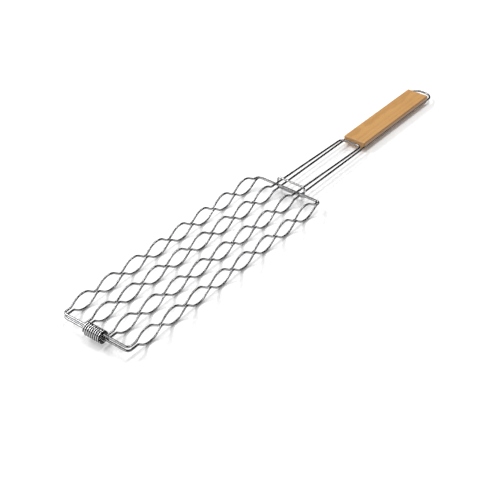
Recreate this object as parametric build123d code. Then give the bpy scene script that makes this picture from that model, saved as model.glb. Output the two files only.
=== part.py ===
from build123d import *
import math
import os

# Two wavy wire grids face each other, hinged at the front by a loose wire coil.
# +X runs from the coil to the handle, +Y runs across, and +Z is up.
# The model is drawn about the front rails, on the mid plane between the two grids, and
# moved at the end, so that its origin is the middle of its footprint.

# Wire and welds, in millimetres
wire_d = 3.0
weld_gap = 0.05
grid_gap = 0.3

# Grid, between centrelines
grid_width = 100.0
inner_spacing = 34.0
corner_bend = 5.0
corner_run = 5.5

# Waves: heights are from the mid plane to the wire's centreline
cell_count = 8
cell_pitch = 45.0
crest_height = 12.0
trough_height = 2.0
crest_bend = 21.0
trough_bend = 6.0
front_knee_bend = 4.0
last_flank_deg = 31.0
back_knee_bend = 8.0
upper_wave_start = 9.0
lower_wave_lag = 4.5

# Front rails and back bars: heights are from the mid plane, the same for both grids
rail_height = 3.0
bar_height = 1.7
upper_bar_x = 380.0
lower_bar_lag = 5.5

# Rods and handle: drops are below the mid plane
rod_bend_x = 541.0
rod_bend_drop = 0.5
rod_bend_radius = 7.0
rod_joint_run = 5.0
rod_settle_bend = 60.0
handle_front_gap = 6.0
handle_length = 184.0
handle_width = 36.0
handle_thickness = 12.0
handle_edge = 2.2
handle_mid_drop = 4.0
groove_drop = 6.0
groove_clearance = 0.15
loop_reach = 18.0
loop_bend = 14.0

# Hinge coil
coil_wire_d = 2.3
coil_outer_d = 16.4
coil_turns = 9
coil_end_gap = 1.1

# Locking ring
ring_corner_bend = 4.0
ring_side_gap = 2.0
ring_back_gap = 0.5

# Derived sizes
wire_r = wire_d / 2
half_width = grid_width / 2
half_spacing = inner_spacing / 2
half_pitch = cell_pitch / 2
handle_front_x = rod_bend_x + wire_r + handle_front_gap
handle_end_x = handle_front_x + handle_length
loop_end_x = handle_end_x + loop_reach
lower_wave_start = upper_wave_start + lower_wave_lag
lower_bar_x = upper_bar_x + lower_bar_lag
rod_bend_start_x = rod_bend_x - rod_bend_radius - wire_r
coil_r = (coil_outer_d - coil_wire_d) / 2
coil_bore_r = coil_r - coil_wire_d / 2
coil_half_length = half_spacing - wire_r - coil_end_gap - coil_wire_d / 2
coil_z = rail_height + wire_r + grid_gap - coil_bore_r

# The flank is the common tangent of a trough arc and the next crest arc.
bend_sum = crest_bend + trough_bend
arc_rise = crest_height - trough_height - bend_sum
flank = math.atan2(arc_rise, half_pitch) + math.asin(bend_sum / math.hypot(half_pitch, arc_rise))
crest_corner = crest_height + crest_bend * (1 / math.cos(flank) - 1)
trough_corner = trough_height - trough_bend * (1 / math.cos(flank) - 1)

# The last crest's second flank is less steep, so a wider bend keeps that crest at its height.
last_flank = math.radians(last_flank_deg)
skew_rise = math.tan(last_flank) / math.cos(flank) + math.tan(flank) / math.cos(last_flank)
skew_share = skew_rise / (math.tan(flank) + math.tan(last_flank)) - 1
last_crest_bend = (crest_corner - crest_height) / skew_share

# The rods are welded on the outer side of the back bars: above the upper, below the lower.
rod_start_height = bar_height + wire_d + weld_gap
upper_rod_slope = (-rod_bend_drop - rod_start_height) / (rod_bend_x - upper_bar_x)
lower_rod_slope = (-groove_drop + rod_start_height) / (handle_front_x - lower_bar_x)

# The ring stands upright behind the back bars, round both pairs of rods.
ring_x = lower_bar_x + wire_d + ring_back_gap
ring_half_height = rod_start_height + wire_d + grid_gap
ring_half_width = half_spacing + wire_d + ring_side_gap

# The row's origin: middle of the footprint, on the surface that the lower waves rest on
front_x = -coil_outer_d / 2
lowest_z = -crest_height - wire_r
place = Pos(-(front_x + loop_end_x + wire_r) / 2, 0, -lowest_z)


def tube(route, radius=wire_r):
    """Sweep a round wire along a route."""
    section = Plane(origin=route @ 0, z_dir=route % 0) * Circle(radius)
    return sweep(section, path=route)


def flank_run(side, level):
    """Length along X of a flank, from a crest's corner down to a level."""
    return (crest_corner - side * level) / math.tan(flank)


def wave(side, start, front_level):
    """Corners and bend radii of one wavy wire, from its front knee to its last crest.

    side is 1 for the upper grid, whose crests point up, and -1 for the lower one.
    """
    corners = [(start + half_pitch - flank_run(side, front_level), front_level)]
    radii = [front_knee_bend]
    for cell in range(cell_count):
        crest_x = start + (cell + 0.5) * cell_pitch
        corners.append((crest_x, side * crest_corner))
        radii.append(crest_bend)
        if cell < cell_count - 1:
            corners.append((crest_x + half_pitch, side * trough_corner))
            radii.append(trough_bend)
    radii[-1] = last_crest_bend
    return corners, radii


def back_knee_x(side, start, level):
    """Where the last flank comes down to a level."""
    last_crest_x = start + (cell_count - 0.5) * cell_pitch
    return last_crest_x + (crest_corner - side * level) / math.tan(last_flank)


def outer_wire(side, start, bar_x, y):
    """One outer wavy wire, between the bent ends of its rail and its back bar."""
    front_level = side * rail_height
    bar_level = side * bar_height
    corners, radii = wave(side, start, front_level)
    corners.append((back_knee_x(side, start, bar_level), bar_level))
    radii.append(back_knee_bend)
    line = [(corner_run, front_level)] + corners + [(bar_x - corner_run, bar_level)]
    return tube(FilletPolyline(*[(x, y, z) for x, z in line], radius=radii))


def rod_level(side, x):
    """Height of a rod's centreline at x."""
    bar_x, slope = (upper_bar_x, upper_rod_slope) if side > 0 else (lower_bar_x, lower_rod_slope)
    return side * rod_start_height + slope * (x - bar_x)


def rod_knee_x(side, start):
    """Where the last flank of an inner wire runs into its rod."""
    near_x = back_knee_x(side, start, side * rod_start_height)
    return back_knee_x(side, start, rod_level(side, near_x))


def inner_wire(side, start, y):
    """One inner wavy wire, from its weld on the front rail to the start of its rod."""
    front_level = side * rail_height
    corners, radii = wave(side, start, front_level)
    knee_x = rod_knee_x(side, start)
    end_x = knee_x + rod_joint_run
    corners.append((knee_x, rod_level(side, knee_x)))
    radii.append(back_knee_bend)
    line = [(wire_r + weld_gap, front_level)] + corners + [(end_x, rod_level(side, end_x))]
    return tube(FilletPolyline(*[(x, y, z) for x, z in line], radius=radii))


def cross_wire(x, run_x, level):
    """A rail or back bar, with its two corners bent towards run_x."""
    line = [(run_x, half_width), (x, half_width), (x, -half_width), (run_x, -half_width)]
    return tube(FilletPolyline(*[(px, py, level) for px, py in line], radius=corner_bend))


def biarc(start, start_dir, end, end_dir):
    """Two arcs that join two points and keep both directions."""
    chord = end - start
    facing = 2 * (1 - start_dir.dot(end_dir))
    along = 2 * chord.dot(start_dir + end_dir)
    arm = (math.sqrt(along**2 + 4 * facing * chord.dot(chord)) - along) / (2 * facing)
    first_hand = start + start_dir * arm
    second_hand = end - end_dir * arm
    middle = (first_hand + second_hand) / 2
    middle_dir = (second_hand - first_hand).normalized()
    return [Edge.make_tangent_arc(start, start_dir, middle), Edge.make_tangent_arc(middle, middle_dir, end)]


def coil_point(turn):
    """A point and direction on the coil's centreline, by its number of turns from one end."""
    angle = 2 * math.pi * turn
    y = coil_half_length * (2 * turn / coil_turns - 1)
    point = Vector(-coil_r * math.cos(angle), y, coil_z - coil_r * math.sin(angle))
    advance = 2 * coil_half_length / coil_turns / (2 * math.pi * coil_r)
    direction = Vector(math.sin(angle), advance, -math.cos(angle)).normalized()
    return point, direction


def coil_gap():
    """Least gap between neighbouring turns, measured on points of the centreline."""
    steps = 72
    points = [coil_point(step / steps)[0] for step in range(coil_turns * steps + 1)]
    pairs = [(a - b).length for i, a in enumerate(points) for b in points[i + steps // 2:]]
    return min(pairs) - coil_wire_d


def hinge_coil():
    """The loose coil that ties the two front rails: one wire, wound in quarter turns."""
    quarters = [coil_point(quarter / 4) for quarter in range(4 * coil_turns + 1)]
    first, first_dir = quarters[0]
    last, last_dir = quarters[-1]
    edges = [Edge.make_line(first - first_dir * coil_wire_d, first)]
    for (a, a_dir), (b, b_dir) in zip(quarters, quarters[1:]):
        edges += biarc(a, a_dir, b, b_dir)
    edges.append(Edge.make_line(last, last + last_dir * coil_wire_d))
    return tube(Wire(edges), coil_wire_d / 2)


def lower_rod(y):
    """One lower rod: it slopes down to the handle, then runs level along its groove."""
    start_x = rod_knee_x(-1, lower_wave_start) + rod_joint_run
    start = (start_x, y, rod_level(-1, start_x))
    line = [start, (handle_front_x, y, -groove_drop), (handle_end_x, y, -groove_drop)]
    return tube(FilletPolyline(*line, radius=rod_settle_bend))


def upper_rod(y):
    """One upper rod, straight from its inner wire to the bend at the handle."""
    start_x = rod_knee_x(1, upper_wave_start) + rod_joint_run
    ends = [(x, y, rod_level(1, x)) for x in (start_x, rod_bend_start_x)]
    return tube(Line(*ends))


def upper_rod_bend():
    """The squared bend that joins the two upper rods, just in front of the handle."""
    near_z = rod_level(1, rod_bend_start_x)
    line = [(rod_bend_start_x, half_spacing, near_z), (rod_bend_x, half_spacing, -rod_bend_drop)]
    line += [(rod_bend_x, -half_spacing, -rod_bend_drop), (rod_bend_start_x, -half_spacing, near_z)]
    return tube(FilletPolyline(*line, radius=rod_bend_radius))


def hanging_loop():
    """The end of the lower hairpin, which stands out of the handle's far end."""
    plan = [(handle_end_x, half_spacing), (loop_end_x, half_spacing)]
    plan += [(loop_end_x, -half_spacing), (handle_end_x, -half_spacing)]
    return tube(FilletPolyline(*[(x, y, -groove_drop) for x, y in plan], radius=loop_bend))


def locking_ring():
    """The closed wire ring round all four rods."""
    corners = [
        (ring_x, ring_half_width, -ring_half_height),
        (ring_x, ring_half_width, ring_half_height),
        (ring_x, -ring_half_width, ring_half_height),
        (ring_x, -ring_half_width, -ring_half_height),
    ]
    return tube(FilletPolyline(*corners, radius=ring_corner_bend, close=True))


def handle():
    """The flat wooden handle, with a groove along each side for a rod."""
    middle = Pos((handle_front_x + handle_end_x) / 2, 0, -handle_mid_drop)
    board = Box(handle_length, handle_width, handle_thickness)
    board = fillet(board.edges(), handle_edge)
    groove_r = wire_r + groove_clearance
    groove_z = handle_mid_drop - groove_drop
    for y in (half_spacing, -half_spacing):
        groove_depth = handle_width / 2 - half_spacing + wire_d
        outward = math.copysign(groove_depth / 2, y)
        board -= Pos(0, y, groove_z) * Rot(0, 90, 0) * Cylinder(groove_r, handle_length)
        board -= Pos(0, y + outward, groove_z) * Box(handle_length, groove_depth, 2 * groove_r)
    return middle * board


upper = (1, upper_wave_start)
lower = (-1, lower_wave_start)

pieces = {
    "upper_front_rail": cross_wire(0, corner_run, rail_height),
    "upper_left_wire": outer_wire(*upper, upper_bar_x, half_width),
    "upper_right_wire": outer_wire(*upper, upper_bar_x, -half_width),
    "upper_inner_left_wire": inner_wire(*upper, half_spacing),
    "upper_inner_right_wire": inner_wire(*upper, -half_spacing),
    "upper_back_bar": cross_wire(upper_bar_x, upper_bar_x - corner_run, bar_height),
    "upper_left_rod": upper_rod(half_spacing),
    "upper_right_rod": upper_rod(-half_spacing),
    "upper_rod_bend": upper_rod_bend(),
    "lower_front_rail": cross_wire(0, corner_run, -rail_height),
    "lower_left_wire": outer_wire(*lower, lower_bar_x, half_width),
    "lower_right_wire": outer_wire(*lower, lower_bar_x, -half_width),
    "lower_inner_left_wire": inner_wire(*lower, half_spacing),
    "lower_inner_right_wire": inner_wire(*lower, -half_spacing),
    "lower_back_bar": cross_wire(lower_bar_x, lower_bar_x - corner_run, -bar_height),
    "lower_left_rod": lower_rod(half_spacing),
    "lower_right_rod": lower_rod(-half_spacing),
    "hanging_loop": hanging_loop(),
    "handle": handle(),
    "hinge_coil": hinge_coil(),
    "locking_ring": locking_ring(),
}

os.makedirs("parts", exist_ok=True)
for name, solid in pieces.items():
    export_step(place * solid, f"parts/{name}.step")

print(f"hinge coil: {coil_turns} turns, least gap between turns {coil_gap():.2f} mm")
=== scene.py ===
import logging
import math
from dataclasses import dataclass, field
from enum import Enum
from typing import Any, Sequence

import bpy
from mathutils import Matrix, Vector


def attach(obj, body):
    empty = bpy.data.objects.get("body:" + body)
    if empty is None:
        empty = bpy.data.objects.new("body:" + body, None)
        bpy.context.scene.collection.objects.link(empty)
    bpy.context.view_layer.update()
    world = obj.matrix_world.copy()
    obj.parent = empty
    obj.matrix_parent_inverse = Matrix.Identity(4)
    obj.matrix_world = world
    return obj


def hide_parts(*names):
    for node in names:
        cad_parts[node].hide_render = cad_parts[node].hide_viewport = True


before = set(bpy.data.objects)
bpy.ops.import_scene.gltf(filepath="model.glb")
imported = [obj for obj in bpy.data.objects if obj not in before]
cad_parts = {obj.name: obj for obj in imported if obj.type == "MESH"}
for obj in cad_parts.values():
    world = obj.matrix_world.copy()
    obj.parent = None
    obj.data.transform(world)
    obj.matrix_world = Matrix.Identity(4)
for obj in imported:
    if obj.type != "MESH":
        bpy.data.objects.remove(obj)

LOG = logging.getLogger("grill_basket")
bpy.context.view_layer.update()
MM = 0.001
Colour = tuple[float, float, float, float]


class Side(Enum):
    """The two wire grids: crests of the upper one point up, and of the lower one down."""

    UPPER = 1
    LOWER = -1


class Socket:
    """A node's output that takes part in Python arithmetic by adding Math nodes."""

    def __init__(self, graph: "Graph", output: bpy.types.NodeSocket) -> None:
        """Keep the graph that new nodes go to, and the output itself."""
        self.graph = graph
        self.output = output

    def _math(self, operation: str, *values: Any) -> "Socket":
        """Add a Math node that works on these values, in this order."""
        return self.graph.node("ShaderNodeMath", {"operation": operation}, dict(enumerate(values)))

    def __add__(self, other: Any) -> "Socket":
        """Sum."""
        return self._math("ADD", self, other)

    def __radd__(self, other: Any) -> "Socket":
        """Sum, reflected."""
        return self._math("ADD", other, self)

    def __sub__(self, other: Any) -> "Socket":
        """Difference."""
        return self._math("SUBTRACT", self, other)

    def __rsub__(self, other: Any) -> "Socket":
        """Difference, reflected."""
        return self._math("SUBTRACT", other, self)

    def __mul__(self, other: Any) -> "Socket":
        """Product."""
        return self._math("MULTIPLY", self, other)

    def __rmul__(self, other: Any) -> "Socket":
        """Product, reflected."""
        return self._math("MULTIPLY", other, self)

    def __truediv__(self, other: Any) -> "Socket":
        """Quotient."""
        return self._math("DIVIDE", self, other)

    def call(self, operation: str) -> "Socket":
        """One-value Math operation, such as SINE or FRACT."""
        return self._math(operation, self)

    def between(self, low: float, high: float) -> "Socket":
        """Smooth step from 0 at low to 1 at high."""
        settings = {"interpolation_type": "SMOOTHSTEP"}
        return self.graph.node("ShaderNodeMapRange", settings, {0: self, 1: low, 2: high, 3: 0.0, 4: 1.0})


class Graph:
    """A node tree that is written as expressions."""

    def __init__(self, tree: bpy.types.NodeTree) -> None:
        """Start from an empty tree."""
        self.tree = tree
        tree.nodes.clear()

    def node(self, kind: str, settings: dict[str, Any], inputs: dict[Any, Any], output: Any = 0) -> Socket:
        """Add one node.

        Args:
            kind: the node's type.
            settings: its properties, set before its sockets.
            inputs: values or links, by socket name or number.
            output: name or number of the output that is wanted.

        Returns:
            That output, ready for arithmetic.
        """
        made = self.tree.nodes.new(kind)
        for name, value in settings.items():
            setattr(made, name, value)
        for name, value in inputs.items():
            self.feed(made.inputs[name], value)
        return Socket(self, made.outputs[output])

    def feed(self, target: bpy.types.NodeSocket, value: Any) -> None:
        """Link a socket to another, or give it a plain value."""
        if isinstance(value, Socket):
            self.tree.links.new(value.output, target)
        else:
            target.default_value = value

    def other(self, made: Socket, name: str) -> Socket:
        """Another output of the node that an output belongs to."""
        return Socket(self, made.output.node.outputs[name])

    def noise(self, place: Socket, scale: float, detail: float = 3.0, roughness: float = 0.5) -> Socket:
        """Noise value, about 0.5 on average."""
        values = {"Vector": place, "Scale": scale, "Detail": detail, "Roughness": roughness}
        return self.node("ShaderNodeTexNoise", {"noise_dimensions": "3D"}, values)

    def blend(self, factor: Any, first: Any, second: Any) -> Socket:
        """Mix of two colours."""
        return self.node("ShaderNodeMix", {"data_type": "RGBA"}, {0: factor, 6: first, 7: second}, 2)

    def scaled(self, place: Socket, scale: Sequence[float]) -> Socket:
        """A place, stretched along each axis."""
        return self.node("ShaderNodeVectorMath", {"operation": "MULTIPLY"}, {0: place, 1: scale})

    def parts(self, place: Socket) -> tuple[Socket, Socket, Socket]:
        """X, Y and Z of a place."""
        x = self.node("ShaderNodeSeparateXYZ", {}, {0: place})
        return x, self.other(x, "Y"), self.other(x, "Z")

    def joined(self, x: Any, y: Any, z: Any) -> Socket:
        """A place made of its three parts."""
        return self.node("ShaderNodeCombineXYZ", {}, {0: x, 1: y, 2: z})


class Finish:
    """A procedural material, made once and put on every piece that has it."""

    name: str

    def material(self) -> bpy.types.Material:
        """The material, built the first time that it is asked for."""
        found = bpy.data.materials.get(self.name)
        if found is None:
            found = bpy.data.materials.new(self.name)
            found.use_nodes = True
            graph = Graph(found.node_tree)
            surface = self.paint(graph)
            output = graph.tree.nodes.new("ShaderNodeOutputMaterial")
            graph.feed(output.inputs["Surface"], surface)
        return found

    def paint(self, graph: Graph) -> Socket:
        """Build the nodes and return the shader."""
        raise NotImplementedError

    def cover(self, piece: bpy.types.Object) -> None:
        """Put the material on a piece."""
        piece.data.materials.clear()
        piece.data.materials.append(self.material())


@dataclass(frozen=True)
class ChromeWire(Finish):
    """Plated steel wire: dark mirror with drawing lines, dull patches and faint stains.

    The swept wires carry two attributes: "section", the place across the wire, and "along".
    """

    name: str = "chrome_wire"
    dark: Colour = (0.20, 0.20, 0.206, 1)
    bright: Colour = (0.37, 0.37, 0.38, 1)
    stain: Colour = (0.20, 0.17, 0.13, 1)
    smooth: float = 0.08
    dull: float = 0.22
    line_depth: float = 0.00003
    line_strength: float = 0.35
    lines_across: float = 5200.0
    lines_along: float = 45.0
    patch_scale: float = 42.0
    speck_scale: float = 900.0
    spot_scale: float = 17.0

    def paint(self, graph: Graph) -> Socket:
        """Mirror metal whose lines follow the wire."""
        place = graph.node("ShaderNodeTexCoord", {}, {}, "Object")
        section = graph.node("ShaderNodeAttribute", {"attribute_name": "section"}, {}, "Vector")
        along = graph.node("ShaderNodeAttribute", {"attribute_name": "along"}, {}, "Fac")
        across_x, across_y, _ = graph.parts(section)
        x, y = across_x * self.lines_across, across_y * self.lines_across
        drawn = graph.joined(x, y, along * self.lines_along)
        lines = graph.noise(drawn, 1.0, 2.0)
        cloud = graph.noise(place, self.patch_scale, 4.0, 0.6)
        patches = cloud.between(0.42, 0.66)
        specks = graph.noise(place, self.speck_scale, 2.0).between(0.63, 0.75)
        spots = graph.noise(place, self.spot_scale, 3.0).between(0.60, 0.78)
        colour = graph.blend(patches * 0.7 + lines * 0.3, self.dark, self.bright)
        colour = graph.blend(spots * 0.35 + specks * 0.3, colour, self.stain)
        # Painted shade between the hinge coil's turns; a plain wire gets none.
        colour = self.paint_gap_shade(graph, place, colour)
        rough = self.smooth + (self.dull - self.smooth) * (patches * 0.45 + specks * 0.5 + lines * 0.2)
        height = lines * 0.6 + specks * 0.4
        relief = {"Strength": self.line_strength, "Distance": self.line_depth, "Height": height}
        bump = graph.node("ShaderNodeBump", {}, relief)
        values = {"Base Color": colour, "Metallic": 1.0, "Roughness": rough, "Normal": bump}
        return graph.node("ShaderNodeBsdfPrincipled", {}, values)

    def paint_gap_shade(self, graph: Graph, place: Socket, colour: Socket) -> Socket:
        """Darken the metal with painted shade between crowded turns: nowhere on a plain wire."""
        return colour


@dataclass(frozen=True)
class CoilChrome(ChromeWire):
    """Chrome of the hinge coil, with painted shade where one turn faces the next."""

    name: str = "coil_chrome"
    dark: Colour = (0.50, 0.50, 0.51, 1)
    bright: Colour = (0.86, 0.86, 0.87, 1)
    dull: float = 0.14
    # Near-black painted shade between neighbouring turns.
    gap_shade_colour: Colour = (0.012, 0.011, 0.010, 1)
    axis: tuple[float, float, float] = (0.0, 0.0, 0.0)
    half_length: float = 0.01
    turns: int = 1
    # Shares of the pitch where the painted shade begins and where it is full.
    unshaded_share: float = 0.10
    full_shade_share: float = 0.30

    def paint_gap_shade(self, graph: Graph, place: Socket, colour: Socket) -> Socket:
        """Painted shade by the distance from the winding's centreline, in shares of its pitch."""
        x, y, z = graph.parts(place)
        axis_x, _, axis_z = self.axis
        angle = graph.node("ShaderNodeMath", {"operation": "ARCTAN2"}, {0: axis_z - z, 1: axis_x - x})
        pitch = 2 * self.half_length / self.turns
        phase = (y + self.half_length) / pitch - angle / math.tau
        offset = ((phase + 0.5).call("FRACT") - 0.5).call("ABSOLUTE")
        # Painted shade in the gaps between turns.
        return graph.blend(offset.between(self.unshaded_share, self.full_shade_share), colour, self.gap_shade_colour)


@dataclass(frozen=True)
class RingChrome(ChromeWire):
    """Brighter chrome of the locking ring."""

    name: str = "ring_chrome"
    dark: Colour = (0.40, 0.40, 0.41, 1)
    bright: Colour = (0.6, 0.6, 0.61, 1)


@dataclass(frozen=True)
class WeldMetal(Finish):
    """Spot weld: matt, slightly brown metal with a fine grain."""

    name: str = "weld_metal"
    pale: Colour = (0.20, 0.19, 0.18, 1)
    dark_tone: Colour = (0.07, 0.05, 0.035, 1)
    grain_depth: float = 0.0001
    grain_strength: float = 0.6
    mottle_scale: float = 600.0
    grain_scale: float = 2400.0

    def paint(self, graph: Graph) -> Socket:
        """Mottled metal."""
        place = graph.node("ShaderNodeTexCoord", {}, {}, "Object")
        mottle = graph.noise(place, self.mottle_scale, 4.0, 0.65)
        colour = graph.blend(mottle.between(0.35, 0.65), self.dark_tone, self.pale)
        grain = graph.noise(place, self.grain_scale, 2.0)
        relief = {"Strength": self.grain_strength, "Distance": self.grain_depth, "Height": grain}
        bump = graph.node("ShaderNodeBump", {}, relief)
        values = {"Base Color": colour, "Metallic": 0.9, "Roughness": 0.34 + mottle * 0.3, "Normal": bump}
        return graph.node("ShaderNodeBsdfPrincipled", {}, values)


@dataclass(frozen=True)
class LacqueredWood(Finish):
    """Pale hardwood, flat sawn, its grain along X, under a thin clear lacquer."""

    name: str = "lacquered_wood"
    centre: tuple[float, float, float] = (0.2686, 0.0, 0.0095)
    pale: Colour = (0.62, 0.345, 0.122, 1)
    late: Colour = (0.46, 0.225, 0.066, 1)
    pore: Colour = (0.24, 0.10, 0.03, 1)
    # Darker tone for the end grain, also used as painted shade on the side faces.
    dark_tone: Colour = (0.30, 0.15, 0.06, 1)
    pith_y: float = 0.011
    pith_z: float = -0.034
    ring_spacing: float = 0.0031
    half_length: float = 0.092
    half_width: float = 0.018
    fibre_depth: float = 0.00012
    fibre_strength: float = 0.5
    sway_scale: tuple[float, float, float] = (11.0, 3.0, 3.0)
    sway_y: float = 0.016
    sway_z: float = 0.010
    wander_scale: tuple[float, float, float] = (26.0, 120.0, 120.0)
    wander: float = 0.0018
    fibre_scale: tuple[float, float, float] = (70.0, 2600.0, 2600.0)
    streak_scale: tuple[float, float, float] = (9.0, 420.0, 420.0)
    pore_scale: tuple[float, float, float] = (230.0, 3600.0, 3600.0)
    cloud_scale: float = 30.0
    wear_scale: float = 90.0
    pore_tone: float = 0.55
    end_tone: float = 0.5
    # Strength of the painted shade on the side faces.
    side_shade_tone: float = 0.75
    coat: float = 0.30
    coat_lost: float = 0.2

    def paint(self, graph: Graph) -> Socket:
        """Growth rings round a pith below the board, with fibres and pores along it."""
        place = graph.node("ShaderNodeTexCoord", {}, {}, "Object")
        local = graph.node("ShaderNodeVectorMath", {"operation": "SUBTRACT"}, {0: place, 1: self.centre})
        x, y, z = graph.parts(local)
        sway = graph.noise(graph.scaled(local, self.sway_scale), 1.0, 3.0) - 0.5
        wander = graph.noise(graph.scaled(local, self.wander_scale), 1.0, 2.0) - 0.5
        side = y - self.pith_y + sway * self.sway_y
        depth = z - self.pith_z + sway * self.sway_z
        radius = (side * side + depth * depth).call("SQRT") + wander * self.wander
        year = (radius / self.ring_spacing).call("FRACT")
        late_wood = year.between(0.30, 0.92) * (1 - year.between(0.93, 1.0))
        fibre = graph.noise(graph.scaled(local, self.fibre_scale), 1.0, 3.0, 0.6)
        streak = graph.noise(graph.scaled(local, self.streak_scale), 1.0, 2.0)
        pores = graph.noise(graph.scaled(local, self.pore_scale), 1.0, 1.0).between(0.66, 0.74)
        cloud = graph.noise(local, self.cloud_scale, 2.0)
        tone = late_wood * 0.28 + fibre * 0.40 + streak * 0.40 + cloud * 0.25 - 0.26
        colour = graph.blend(tone.between(0.0, 1.0), self.pale, self.late)
        colour = graph.blend(pores * self.pore_tone, colour, self.pore)
        end_grain = (x.call("ABSOLUTE") / self.half_length).between(0.985, 1.0)
        colour = graph.blend(end_grain * self.end_tone, colour, self.dark_tone)
        # Painted shade: the side faces are darkened towards the edges of the board, with a little darker
        # edge grain in it.
        edge_grain_and_shade = (y.call("ABSOLUTE") / self.half_width).between(0.90, 0.985)
        colour = graph.blend(edge_grain_and_shade * self.side_shade_tone, colour, self.dark_tone)
        worn = graph.noise(local, self.wear_scale, 4.0, 0.65).between(0.56, 0.72)
        rough = 0.36 + fibre * 0.14 + pores * 0.2 + worn * 0.12 + end_grain * 0.15
        height = fibre * 0.5 + (1 - pores) * 0.5 + late_wood * 0.15
        relief = {"Strength": self.fibre_strength, "Distance": self.fibre_depth, "Height": height}
        bump = graph.node("ShaderNodeBump", {}, relief)
        values = {
            "Base Color": colour,
            "Roughness": rough,
            "Normal": bump,
            "Coat Weight": self.coat - worn * self.coat_lost,
            "Coat Roughness": 0.22,
            "Specular IOR Level": 0.4,
        }
        return graph.node("ShaderNodeBsdfPrincipled", {}, values)


@dataclass(frozen=True)
class StudioPaper(Finish):
    """The pale floor: matt white paper."""

    name: str = "studio_paper"
    low: Colour = (0.93, 0.93, 0.93, 1)
    high: Colour = (0.95, 0.95, 0.95, 1)
    tooth_scale: float = 220.0
    lift: float = 0.12

    def paint(self, graph: Graph) -> Socket:
        """Matt white, lifted a little where the camera or a mirror sees it."""
        place = graph.node("ShaderNodeTexCoord", {}, {}, "Object")
        tooth = graph.noise(place, self.tooth_scale, 3.0)
        colour = graph.blend(tooth, self.low, self.high)
        paper = graph.node("ShaderNodeBsdfPrincipled", {}, {"Base Color": colour, "Roughness": 0.9})
        seen = graph.node("ShaderNodeLightPath", {}, {}, "Is Camera Ray")
        mirrored = graph.other(seen, "Is Glossy Ray")
        through = graph.other(seen, "Is Transmission Ray")
        lift = graph.node("ShaderNodeEmission", {}, {"Color": (1, 1, 1, 1), "Strength": self.lift})
        none = graph.node("ShaderNodeEmission", {}, {"Color": (0, 0, 0, 1), "Strength": 0.0})
        looked_at = (seen + mirrored + through).between(0.0, 1.0)
        glow = graph.node("ShaderNodeMixShader", {}, {0: looked_at, 1: none, 2: lift})
        return graph.node("ShaderNodeAddShader", {}, {0: paper, 1: glow})


@dataclass
class WirePath:
    """A bent wire's corners and the bend radius at each, in millimetres from the front rails."""

    corners: list[tuple[float, float, float]]
    bends: list[float]
    closed: bool = False

    def guide(self, name: str, sizes: "BasketSizes") -> bpy.types.Object:
        """Make a line of edges in the row's frame, with the attribute "bend" at its corners.

        Args:
            name: name of the object.
            sizes: the basket's sizes, which say where the front rails are.

        Returns:
            An object with edges only.
        """
        points = [sizes.placed(corner) for corner in self.corners]
        edges = [(i, i + 1) for i in range(len(points) - 1)]
        if self.closed:
            edges.append((len(points) - 1, 0))
        mesh = bpy.data.meshes.new(name)
        mesh.from_pydata(points, edges, [])
        bend = mesh.attributes.new("bend", "FLOAT", "POINT")
        bend.data.foreach_set("value", [radius * MM for radius in self.bends])
        made = bpy.data.objects.new(name, mesh)
        bpy.context.scene.collection.objects.link(made)
        return made


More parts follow.
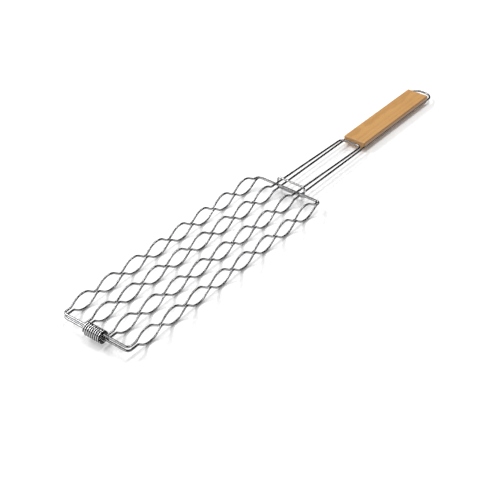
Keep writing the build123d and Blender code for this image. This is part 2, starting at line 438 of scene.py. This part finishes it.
@dataclass(frozen=True)
class BasketSizes:
    """Sizes of the basket in millimetres, the same as the frame's."""

    origin_x: float = -371.9
    origin_z: float = 13.5
    wire_r: float = 1.5
    weld_gap: float = 0.05
    half_width: float = 50.0
    half_spacing: float = 17.0
    corner_bend: float = 5.0
    cell_count: int = 8
    cell_pitch: float = 45.0
    crest_height: float = 12.0
    trough_height: float = 2.0
    crest_bend: float = 21.0
    trough_bend: float = 6.0
    front_knee_bend: float = 4.0
    last_flank: float = math.radians(31.0)
    back_knee_bend: float = 8.0
    wave_start: dict[Side, float] = field(
        default_factory=lambda: {Side.UPPER: 9.0, Side.LOWER: 13.5}
    )
    rail_height: float = 3.0
    bar_height: float = 1.7
    bar_x: dict[Side, float] = field(default_factory=lambda: {Side.UPPER: 380.0, Side.LOWER: 385.5})
    rod_bend_x: float = 541.0
    rod_bend_drop: float = 0.5
    rod_bend_radius: float = 7.0
    rod_settle_bend: float = 60.0
    handle_front_x: float = 548.5
    groove_drop: float = 6.0
    loop_end_x: float = 750.5
    loop_bend: float = 14.0
    coil_wire_r: float = 1.15
    coil_r: float = 7.05
    coil_turns: int = 9
    coil_half_length: float = 13.25
    coil_z: float = -1.1
    ring_x: float = 389.0
    ring_half_width: float = 22.0
    ring_half_height: float = 8.05
    ring_bend: float = 4.0

    def placed(self, corner: Sequence[float]) -> Vector:
        """A corner in the row's frame, in metres."""
        x, y, z = corner
        return Vector((x + self.origin_x, y, z + self.origin_z)) * MM

    @property
    def flank(self) -> float:
        """Slope of a wave's flank, which touches a trough's arc and a crest's arc."""
        bends = self.crest_bend + self.trough_bend
        rise = self.crest_height - self.trough_height - bends
        half_pitch = self.cell_pitch / 2
        return math.atan2(rise, half_pitch) + math.asin(bends / math.hypot(half_pitch, rise))

    @property
    def crest_corner(self) -> float:
        """Height at which two flanks meet above a crest."""
        return self.crest_height + self.crest_bend * (1 / math.cos(self.flank) - 1)

    @property
    def trough_corner(self) -> float:
        """Height at which two flanks meet below a trough."""
        return self.trough_height - self.trough_bend * (1 / math.cos(self.flank) - 1)

    @property
    def last_crest_bend(self) -> float:
        """Bend of the last crest, which keeps its height though its second flank is flatter."""
        near, far = self.flank, self.last_flank
        skew = math.tan(far) / math.cos(near) + math.tan(near) / math.cos(far)
        return (self.crest_corner - self.crest_height) / (skew / (math.tan(near) + math.tan(far)) - 1)

    @property
    def rod_start_height(self) -> float:
        """Height of the rods at the back bars, on whose outer side they are welded."""
        return self.bar_height + 2 * self.wire_r + self.weld_gap

    def rod_level(self, side: Side, x: float) -> float:
        """Height of a rod's centreline at x."""
        end_x, end_z = self.handle_front_x, -self.groove_drop
        if side is Side.UPPER:
            end_x, end_z = self.rod_bend_x, -self.rod_bend_drop
        start_z = side.value * self.rod_start_height
        slope = (end_z - start_z) / (end_x - self.bar_x[side])
        return start_z + slope * (x - self.bar_x[side])

    def back_knee_x(self, side: Side, level: float) -> float:
        """Where the last flank comes down to a level."""
        last_crest = self.wave_start[side] + (self.cell_count - 0.5) * self.cell_pitch
        return last_crest + (self.crest_corner - side.value * level) / math.tan(self.last_flank)


@dataclass
class WireShop:
    """Sweeps wires with Geometry Nodes."""

    sizes: BasketSizes
    sides: int = 18
    steps_per_bend: int = 10

    def sweep_tree(self) -> bpy.types.NodeTree:
        """The tree that rounds a guide's corners and sweeps a wire along it, built once."""
        found = bpy.data.node_groups.get("sweep_wire")
        if found:
            return found
        numbers = {"Wire Radius": 0.0015, "Steps Per Bend": 10, "Sides": 18}
        tree, graph, given = self._new_tree("sweep_wire", numbers)
        bend = graph.node("GeometryNodeInputNamedAttribute", {"data_type": "FLOAT"}, {"Name": "bend"})
        line = graph.node("GeometryNodeMeshToCurve", {}, {"Mesh": given["Geometry"]})
        values = {"Curve": line, "Count": given["Steps Per Bend"], "Radius": bend, "Limit Radius": False}
        line = graph.node("GeometryNodeFilletCurve", {"mode": "POLY"}, values)
        self._finish_sweep(graph, given, line)
        return tree

    def coil_tree(self) -> bpy.types.NodeTree:
        """The tree that winds the hinge coil, built once."""
        found = bpy.data.node_groups.get("wind_coil")
        if found:
            return found
        numbers = {
            "Wire Radius": 0.00115,
            "Steps Per Turn": 28,
            "Sides": 14,
            "Turns": 9,
            "Coil Radius": 0.00705,
            "Half Length": 0.01325,
        }
        tree, graph, given = self._new_tree("wind_coil", numbers)
        centre = graph.tree.interface.new_socket("Centre", in_out="INPUT", socket_type="NodeSocketVector")
        centre_x, _, centre_z = graph.parts(Socket(graph, self._inputs(graph).outputs[centre.name]))
        count = given["Turns"] * given["Steps Per Turn"] + 1
        line = graph.node("GeometryNodeCurvePrimitiveLine", {}, {"Start": (0, -1, 0), "End": (0, 1, 0)})
        line = graph.node("GeometryNodeResampleCurve", {}, {"Curve": line, "Count": count})
        share = graph.node("GeometryNodeSplineParameter", {}, {}, "Factor")
        angle = share * given["Turns"] * math.tau
        x = centre_x - given["Coil Radius"] * angle.call("COSINE")
        z = centre_z - given["Coil Radius"] * angle.call("SINE")
        y = given["Half Length"] * (2 * share - 1)
        values = {"Geometry": line, "Position": graph.joined(x, y, z)}
        line = graph.node("GeometryNodeSetPosition", {}, values)
        self._finish_sweep(graph, given, line)
        return tree

    def bead_tree(self) -> bpy.types.NodeTree:
        """The tree that puts a lumpy weld bead at each point of a guide, built once."""
        found = bpy.data.node_groups.get("weld_beads")
        if found:
            return found
        numbers = {"Bead Radius": 0.0018, "Flatness": 0.75, "Lumps": 0.0002, "Seed": 4}
        tree, graph, given = self._new_tree("weld_beads", numbers)
        values = {"Radius": given["Bead Radius"], "Subdivisions": 4}
        bead = graph.node("GeometryNodeMeshIcoSphere", {}, values)
        size = graph.joined(1.0, 1.0, given["Flatness"])
        values = {"Points": given["Geometry"], "Instance": bead, "Scale": size}
        beads = graph.node("GeometryNodeInstanceOnPoints", {}, values)
        beads = graph.node("GeometryNodeRealizeInstances", {}, {0: beads})
        place = graph.node("GeometryNodeInputPosition", {}, {})
        normal = graph.node("GeometryNodeInputNormal", {}, {})
        noise = {"Vector": place, "W": given["Seed"], "Scale": 700.0, "Detail": 2.0}
        lump = (graph.node("ShaderNodeTexNoise", {"noise_dimensions": "4D"}, noise) - 0.6) * given["Lumps"]
        push = graph.node("ShaderNodeVectorMath", {"operation": "SCALE"}, {0: normal, "Scale": lump * 2})
        beads = graph.node("GeometryNodeSetPosition", {}, {"Geometry": beads, "Offset": push})
        beads = graph.node("GeometryNodeSetShadeSmooth", {}, {"Geometry": beads, "Shade Smooth": True})
        beads = graph.node("GeometryNodeSetMaterial", {}, {"Geometry": beads, "Material": given["Material"]})
        self._close(graph, beads)
        return tree

    def _new_tree(
        self, name: str, numbers: dict[str, float]
    ) -> tuple[bpy.types.NodeTree, Graph, dict[str, Socket]]:
        """Start a tree with a geometry, a material and named numbers as its inputs.

        Args:
            name: name of the tree.
            numbers: default of each named input; whole numbers make integer sockets.

        Returns:
            The tree, its graph, and its inputs by name.
        """
        tree = bpy.data.node_groups.new(name, "GeometryNodeTree")
        graph = Graph(tree)
        tree.interface.new_socket("Geometry", in_out="OUTPUT", socket_type="NodeSocketGeometry")
        tree.interface.new_socket("Geometry", in_out="INPUT", socket_type="NodeSocketGeometry")
        tree.interface.new_socket("Material", in_out="INPUT", socket_type="NodeSocketMaterial")
        for label, value in numbers.items():
            kind = "NodeSocketInt" if isinstance(value, int) else "NodeSocketFloat"
            tree.interface.new_socket(label, in_out="INPUT", socket_type=kind).default_value = value
        entry = tree.nodes.new("NodeGroupInput")
        names = ["Geometry", "Material", *numbers]
        return tree, graph, {label: Socket(graph, entry.outputs[label]) for label in names}

    def _inputs(self, graph: Graph) -> bpy.types.Node:
        """The tree's input node."""
        return next(node for node in graph.tree.nodes if node.bl_idname == "NodeGroupInput")

    def _store(self, graph: Graph, geometry: Socket, name: str, kind: str, value: Socket) -> Socket:
        """Keep a value on a curve's points under a name."""
        settings = {"data_type": kind, "domain": "POINT"}
        values = {"Geometry": geometry, "Name": name, "Value": value}
        return graph.node("GeometryNodeStoreNamedAttribute", settings, values)

    def _finish_sweep(self, graph: Graph, given: dict[str, Socket], line: Socket) -> None:
        """Sweep a round wire along a line and keep the places along and across it."""
        length = graph.node("GeometryNodeSplineParameter", {}, {}, "Length")
        line = self._store(graph, line, "along", "FLOAT", length)
        values = {"Resolution": given["Sides"], "Radius": given["Wire Radius"]}
        ring = graph.node("GeometryNodeCurvePrimitiveCircle", {}, values)
        across = graph.node("GeometryNodeInputPosition", {}, {})
        ring = self._store(graph, ring, "section", "FLOAT_VECTOR", across)
        values = {"Curve": line, "Profile Curve": ring, "Fill Caps": True}
        wire = graph.node("GeometryNodeCurveToMesh", {}, values)
        wire = graph.node("GeometryNodeSetShadeSmooth", {}, {"Geometry": wire, "Shade Smooth": True})
        wire = graph.node("GeometryNodeRealizeInstances", {}, {0: wire})
        wire = graph.node("GeometryNodeSetMaterial", {}, {"Geometry": wire, "Material": given["Material"]})
        self._close(graph, wire)

    def _close(self, graph: Graph, geometry: Socket) -> None:
        """Link the result to the tree's output."""
        leave = graph.tree.nodes.new("NodeGroupOutput")
        graph.feed(leave.inputs["Geometry"], geometry)

    def make(
        self, guide: bpy.types.Object, tree: bpy.types.NodeTree, finish: Finish, **values: Any
    ) -> bpy.types.Object:
        """Run a tree on a guide and keep the result as a plain mesh.

        Args:
            guide: object that holds the points or edges; it is used up.
            tree: the tree to run.
            finish: the piece's material.
            values: inputs by name, with _ for a space.

        Returns:
            The finished piece, at the origin.
        """
        name = guide.name
        modifier = guide.modifiers.new("make", "NODES")
        modifier.node_group = tree
        wanted = {label.replace("_", " "): value for label, value in values.items()}
        wanted["Material"] = finish.material()
        for item in tree.interface.items_tree:
            if item.in_out == "INPUT" and item.name in wanted:
                modifier[item.identifier] = wanted[item.name]
        bpy.context.view_layer.update()
        evaluated = guide.evaluated_get(bpy.context.evaluated_depsgraph_get())
        mesh = bpy.data.meshes.new_from_object(evaluated)
        bpy.data.objects.remove(guide)
        mesh.name = name
        piece = bpy.data.objects.new(name, mesh)
        bpy.context.scene.collection.objects.link(piece)
        LOG.info("%s: %d faces", name, len(mesh.polygons))
        return piece

    def wire(self, name: str, path: WirePath, finish: Finish) -> bpy.types.Object:
        """One bent wire as a swept tube."""
        return self.make(
            path.guide(name, self.sizes),
            self.sweep_tree(),
            finish,
            Wire_Radius=self.sizes.wire_r * MM,
            Steps_Per_Bend=self.steps_per_bend,
            Sides=self.sides,
        )


@dataclass
class WireGrid:
    """One of the two grids: an outer loop, an inner hairpin that runs on as rods, and welds."""

    side: Side
    body: str
    sizes: BasketSizes
    shop: WireShop
    finish: Finish = field(default_factory=ChromeWire)
    bead_r: float = 1.75

    @property
    def label(self) -> str:
        """Start of the names of this grid's pieces."""
        return self.side.name.lower()

    def wave(self) -> tuple[list[tuple[float, float]], list[float]]:
        """Corners (x, z) and bends of a wavy wire, from its front knee to its last crest."""
        s, sign = self.sizes, self.side.value
        start, level = s.wave_start[self.side], sign * s.rail_height
        run = (s.crest_corner - s.rail_height) / math.tan(s.flank)
        corners = [(start + s.cell_pitch / 2 - run, level)]
        bends = [s.front_knee_bend]
        for cell in range(s.cell_count):
            crest_x = start + (cell + 0.5) * s.cell_pitch
            corners.append((crest_x, sign * s.crest_corner))
            corners.append((crest_x + s.cell_pitch / 2, sign * s.trough_corner))
            bends += [s.crest_bend, s.trough_bend]
        return corners[:-1], bends[:-2] + [s.last_crest_bend]

    def outer_loop(self) -> WirePath:
        """The closed outer wire: rail, two wavy sides and back bar."""
        s, sign = self.sizes, self.side.value
        corners, bends = self.wave()
        bar_level = sign * s.bar_height
        corners = [(0.0, sign * s.rail_height)] + corners
        corners += [(s.back_knee_x(self.side, bar_level), bar_level), (s.bar_x[self.side], bar_level)]
        bends = [s.corner_bend] + bends + [s.back_knee_bend, s.corner_bend]
        left = [(x, s.half_width, z) for x, z in corners]
        right = [(x, -s.half_width, z) for x, z in reversed(corners)]
        return WirePath(left + right, bends + bends[::-1], closed=True)

    def hairpin(self) -> WirePath:
        """The inner wire: up one side of the grid, round its far end, and back."""
        s = self.sizes
        corners, bends = self.wave()
        near_x = s.back_knee_x(self.side, self.side.value * s.rod_start_height)
        knee_x = s.back_knee_x(self.side, s.rod_level(self.side, near_x))
        corners = [(s.wire_r + s.weld_gap, self.side.value * s.rail_height)] + corners
        corners.append((knee_x, s.rod_level(self.side, knee_x)))
        bends = [0.0] + bends + [s.back_knee_bend]
        if self.side is Side.UPPER:
            corners.append((s.rod_bend_x, -s.rod_bend_drop))
            bends.append(s.rod_bend_radius)
        else:
            corners += [(s.handle_front_x, -s.groove_drop), (s.loop_end_x, -s.groove_drop)]
            bends += [s.rod_settle_bend, s.loop_bend]
        left = [(x, s.half_spacing, z) for x, z in corners]
        right = [(x, -s.half_spacing, z) for x, z in reversed(corners)]
        return WirePath(left + right, bends + bends[::-1])

    def weld_points(self) -> WirePath:
        """Places of the spot welds, on the rail and on the back bar."""
        s, sign = self.sizes, self.side.value
        front = s.wire_r + s.weld_gap
        back = (s.bar_height + s.rod_start_height) / 2
        places = [(front, s.rail_height), (s.bar_x[self.side], back)]
        corners = [(x, y, sign * z) for x, z in places for y in (s.half_spacing, -s.half_spacing)]
        return WirePath(corners, [0.0] * len(corners))

    def build(self) -> None:
        """Make the grid's pieces and hide the CAD nodes that they stand for."""
        label = self.label
        loop_nodes = ("front_rail", "left_wire", "right_wire", "back_bar")
        pin_nodes = ("inner_left_wire", "inner_right_wire", "left_rod", "right_rod")
        loop = self.shop.wire(f"{label}_outer_loop", self.outer_loop(), self.finish)
        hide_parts(*[f"{label}_{part}" for part in loop_nodes])
        pin = self.shop.wire(f"{label}_hairpin", self.hairpin(), self.finish)
        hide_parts(*[f"{label}_{part}" for part in pin_nodes])
        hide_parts("upper_rod_bend" if self.side is Side.UPPER else "hanging_loop")
        beads = self.shop.make(
            self.weld_points().guide(f"{label}_welds", self.sizes),
            self.shop.bead_tree(),
            WeldMetal(),
            Bead_Radius=self.bead_r * MM,
        )
        for piece in (loop, pin, beads):
            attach(piece, self.body)


@dataclass
class HingeCoil:
    """The loose wire coil round both front rails."""

    sizes: BasketSizes
    shop: WireShop
    body: str = "lower_grid"

    def build(self) -> None:
        """Wind the coil."""
        s = self.sizes
        centre = s.placed((0.0, 0.0, s.coil_z))
        half_length = s.coil_half_length * MM
        coil = self.shop.make(
            WirePath([(0.0, 0.0, s.coil_z)], [0.0]).guide("coil_spring", s),
            self.shop.coil_tree(),
            CoilChrome(axis=tuple(centre), half_length=half_length, turns=s.coil_turns),
            Wire_Radius=s.coil_wire_r * MM,
            Turns=s.coil_turns,
            Coil_Radius=s.coil_r * MM,
            Half_Length=half_length,
            Centre=centre,
        )
        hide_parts("hinge_coil")
        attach(coil, self.body)


@dataclass
class LockingRing:
    """The closed wire ring round the rods."""

    sizes: BasketSizes
    shop: WireShop
    body: str = "ring"

    def build(self) -> None:
        """Bend the ring."""
        s = self.sizes
        plan = [(1, -1), (1, 1), (-1, 1), (-1, -1)]
        corners = [(s.ring_x, y * s.ring_half_width, z * s.ring_half_height) for y, z in plan]
        path = WirePath(corners, [s.ring_bend] * len(corners), closed=True)
        ring = self.shop.wire("ring_wire", path, RingChrome())
        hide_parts("locking_ring")
        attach(ring, self.body)


@dataclass(frozen=True)
class Lamp:
    """A soft rectangular lamp."""

    name: str
    place: tuple[float, float, float]
    aim: tuple[float, float, float]
    width: float
    height: float
    power: float

    def build(self) -> None:
        """Hang the lamp."""
        data = bpy.data.lights.new(self.name, "AREA")
        data.shape = "RECTANGLE"
        data.size = self.width
        data.size_y = self.height
        data.energy = self.power
        lamp = bpy.data.objects.new(self.name, data)
        bpy.context.scene.collection.objects.link(lamp)
        lamp.location = self.place
        lamp.rotation_euler = (Vector(self.aim) - Vector(self.place)).to_track_quat("-Z", "Y").to_euler()


@dataclass(frozen=True)
class CardPaper(Finish):
    """Plain paper of the cards that the chrome mirrors."""

    name: str = "black_paper"
    level: float = 0.012

    def paint(self, graph: Graph) -> Socket:
        """One even tone."""
        return graph.node("ShaderNodeEmission", {}, {"Color": (1, 1, 1, 1), "Strength": self.level})


@dataclass(frozen=True)
class MirrorCard:
    """A card beside the set, which only mirrors show: it gives chrome its dark and bright lines."""

    name: str
    corners: tuple[tuple[float, float, float], ...]
    paper: CardPaper = CardPaper()

    def build(self) -> None:
        """Stand the card."""
        mesh = bpy.data.meshes.new(self.name)
        mesh.from_pydata(self.corners, [], [tuple(range(len(self.corners)))])
        card = bpy.data.objects.new(self.name, mesh)
        bpy.context.scene.collection.objects.link(card)
        self.paper.cover(card)
        card.visible_camera = False
        card.visible_diffuse = False
        card.visible_shadow = False
        card.visible_transmission = False


@dataclass
class Studio:
    """Floor, light and camera."""

    floor_size: float = 14.0
    world_level: float = 0.30
    camera_place: tuple[float, float, float] = (-1.09693, -0.73366, 0.87957)
    camera_aim: tuple[float, float, float] = (-0.13383, -0.04288, 0.0135)
    camera_roll: float = math.radians(1.81)
    lens: float = 83.94
    lamps: tuple[Lamp, ...] = (
        Lamp("key_lamp", (-0.5, 1.6, 1.7), (0.0, 0.0, 0.0), 1.9, 0.35, 32.0),
        Lamp("front_lamp", (-1.9, 0.5, 1.5), (0.0, 0.0, 0.0), 1.2, 0.40, 11.0),
        Lamp("top_lamp", (0.9, 0.1, 2.0), (0.1, 0.0, 0.0), 0.35, 1.8, 24.0),
    )
    cards: tuple[MirrorCard, ...] = (
        MirrorCard(
            "far_card",
            ((2.2, -3.2, 0.02), (2.2, 2.4, 0.02), (2.0, 2.4, 2.9), (2.0, -3.2, 2.9)),
        ),
        MirrorCard(
            "roof_card",
            ((-3.2, -3.2, 2.9), (2.2, -3.2, 2.9), (2.2, 0.9, 2.9), (-3.2, 0.9, 2.9)),
        ),
        MirrorCard(
            "right_card",
            ((-3.2, -3.2, 0.1), (2.2, -3.2, 0.1), (2.2, -3.2, 2.9), (-3.2, -3.2, 2.9)),
        ),
        MirrorCard(
            "line_card",
            ((-1.9, -2.3, 2.0), (0.9, -2.3, 2.0), (0.9, -2.1, 2.15), (-1.9, -2.1, 2.15)),
            CardPaper("white_paper", 9.0),
        ),
        MirrorCard(
            "near_card",
            ((-3.2, -3.2, 0.5), (-3.2, -0.1, 0.5), (-3.2, 0.5, 2.9), (-3.2, -3.2, 2.9)),
        ),
    )

    def build_floor(self) -> None:
        """Lay the pale floor."""
        half = self.floor_size / 2
        mesh = bpy.data.meshes.new("floor")
        corners = [(-half, -half, 0), (half, -half, 0), (half, half, 0), (-half, half, 0)]
        mesh.from_pydata(corners, [], [tuple(range(len(corners)))])
        floor = bpy.data.objects.new("floor", mesh)
        bpy.context.scene.collection.objects.link(floor)
        StudioPaper().cover(floor)

    def build_world(self) -> None:
        """White where it is looked at, and an even grey light otherwise."""
        world = bpy.data.worlds.new("studio")
        world.use_nodes = True
        bpy.context.scene.world = world
        graph = Graph(world.node_tree)
        seen = graph.node("ShaderNodeLightPath", {}, {}, "Is Camera Ray")
        mirrored = graph.other(seen, "Is Glossy Ray")
        through = graph.other(seen, "Is Transmission Ray")
        looked_at = (seen + mirrored + through).between(0.0, 1.0)
        light = graph.node("ShaderNodeBackground", {}, {"Color": (1, 1, 1, 1), "Strength": self.world_level})
        white = graph.node("ShaderNodeBackground", {}, {"Color": (1, 1, 1, 1), "Strength": 1.0})
        mixed = graph.node("ShaderNodeMixShader", {}, {0: looked_at, 1: light, 2: white})
        output = graph.tree.nodes.new("ShaderNodeOutputWorld")
        graph.feed(output.inputs["Surface"], mixed)

    def build_camera(self) -> None:
        """Stand the camera at the photo's angle."""
        data = bpy.data.cameras.new("camera")
        data.sensor_width = 36.0
        data.lens = self.lens
        data.clip_start = 0.01
        camera = bpy.data.objects.new("camera", data)
        bpy.context.scene.collection.objects.link(camera)
        look = (Vector(self.camera_aim) - Vector(self.camera_place)).normalized()
        turn = look.to_track_quat("-Z", "Y").to_matrix() @ Matrix.Rotation(self.camera_roll, 3, "Z")
        camera.matrix_world = Matrix.Translation(self.camera_place) @ turn.to_4x4()
        bpy.context.scene.camera = camera

    def build(self) -> None:
        """Set up the studio."""
        bpy.context.scene.view_settings.view_transform = "Standard"
        self.build_floor()
        self.build_world()
        for light in (*self.lamps, *self.cards):
            light.build()
        self.build_camera()


def main() -> None:
    """Build the basket and its studio."""
    logging.basicConfig(level=logging.INFO, format="%(name)s: %(message)s")
    sizes = BasketSizes()
    shop = WireShop(sizes)
    Studio().build()
    WireGrid(Side.UPPER, "upper_grid", sizes, shop).build()
    WireGrid(Side.LOWER, "lower_grid", sizes, shop).build()
    HingeCoil(sizes, shop).build()
    LockingRing(sizes, shop).build()
    LacqueredWood().cover(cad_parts["handle"])


if __name__ == "__main__":
    main()
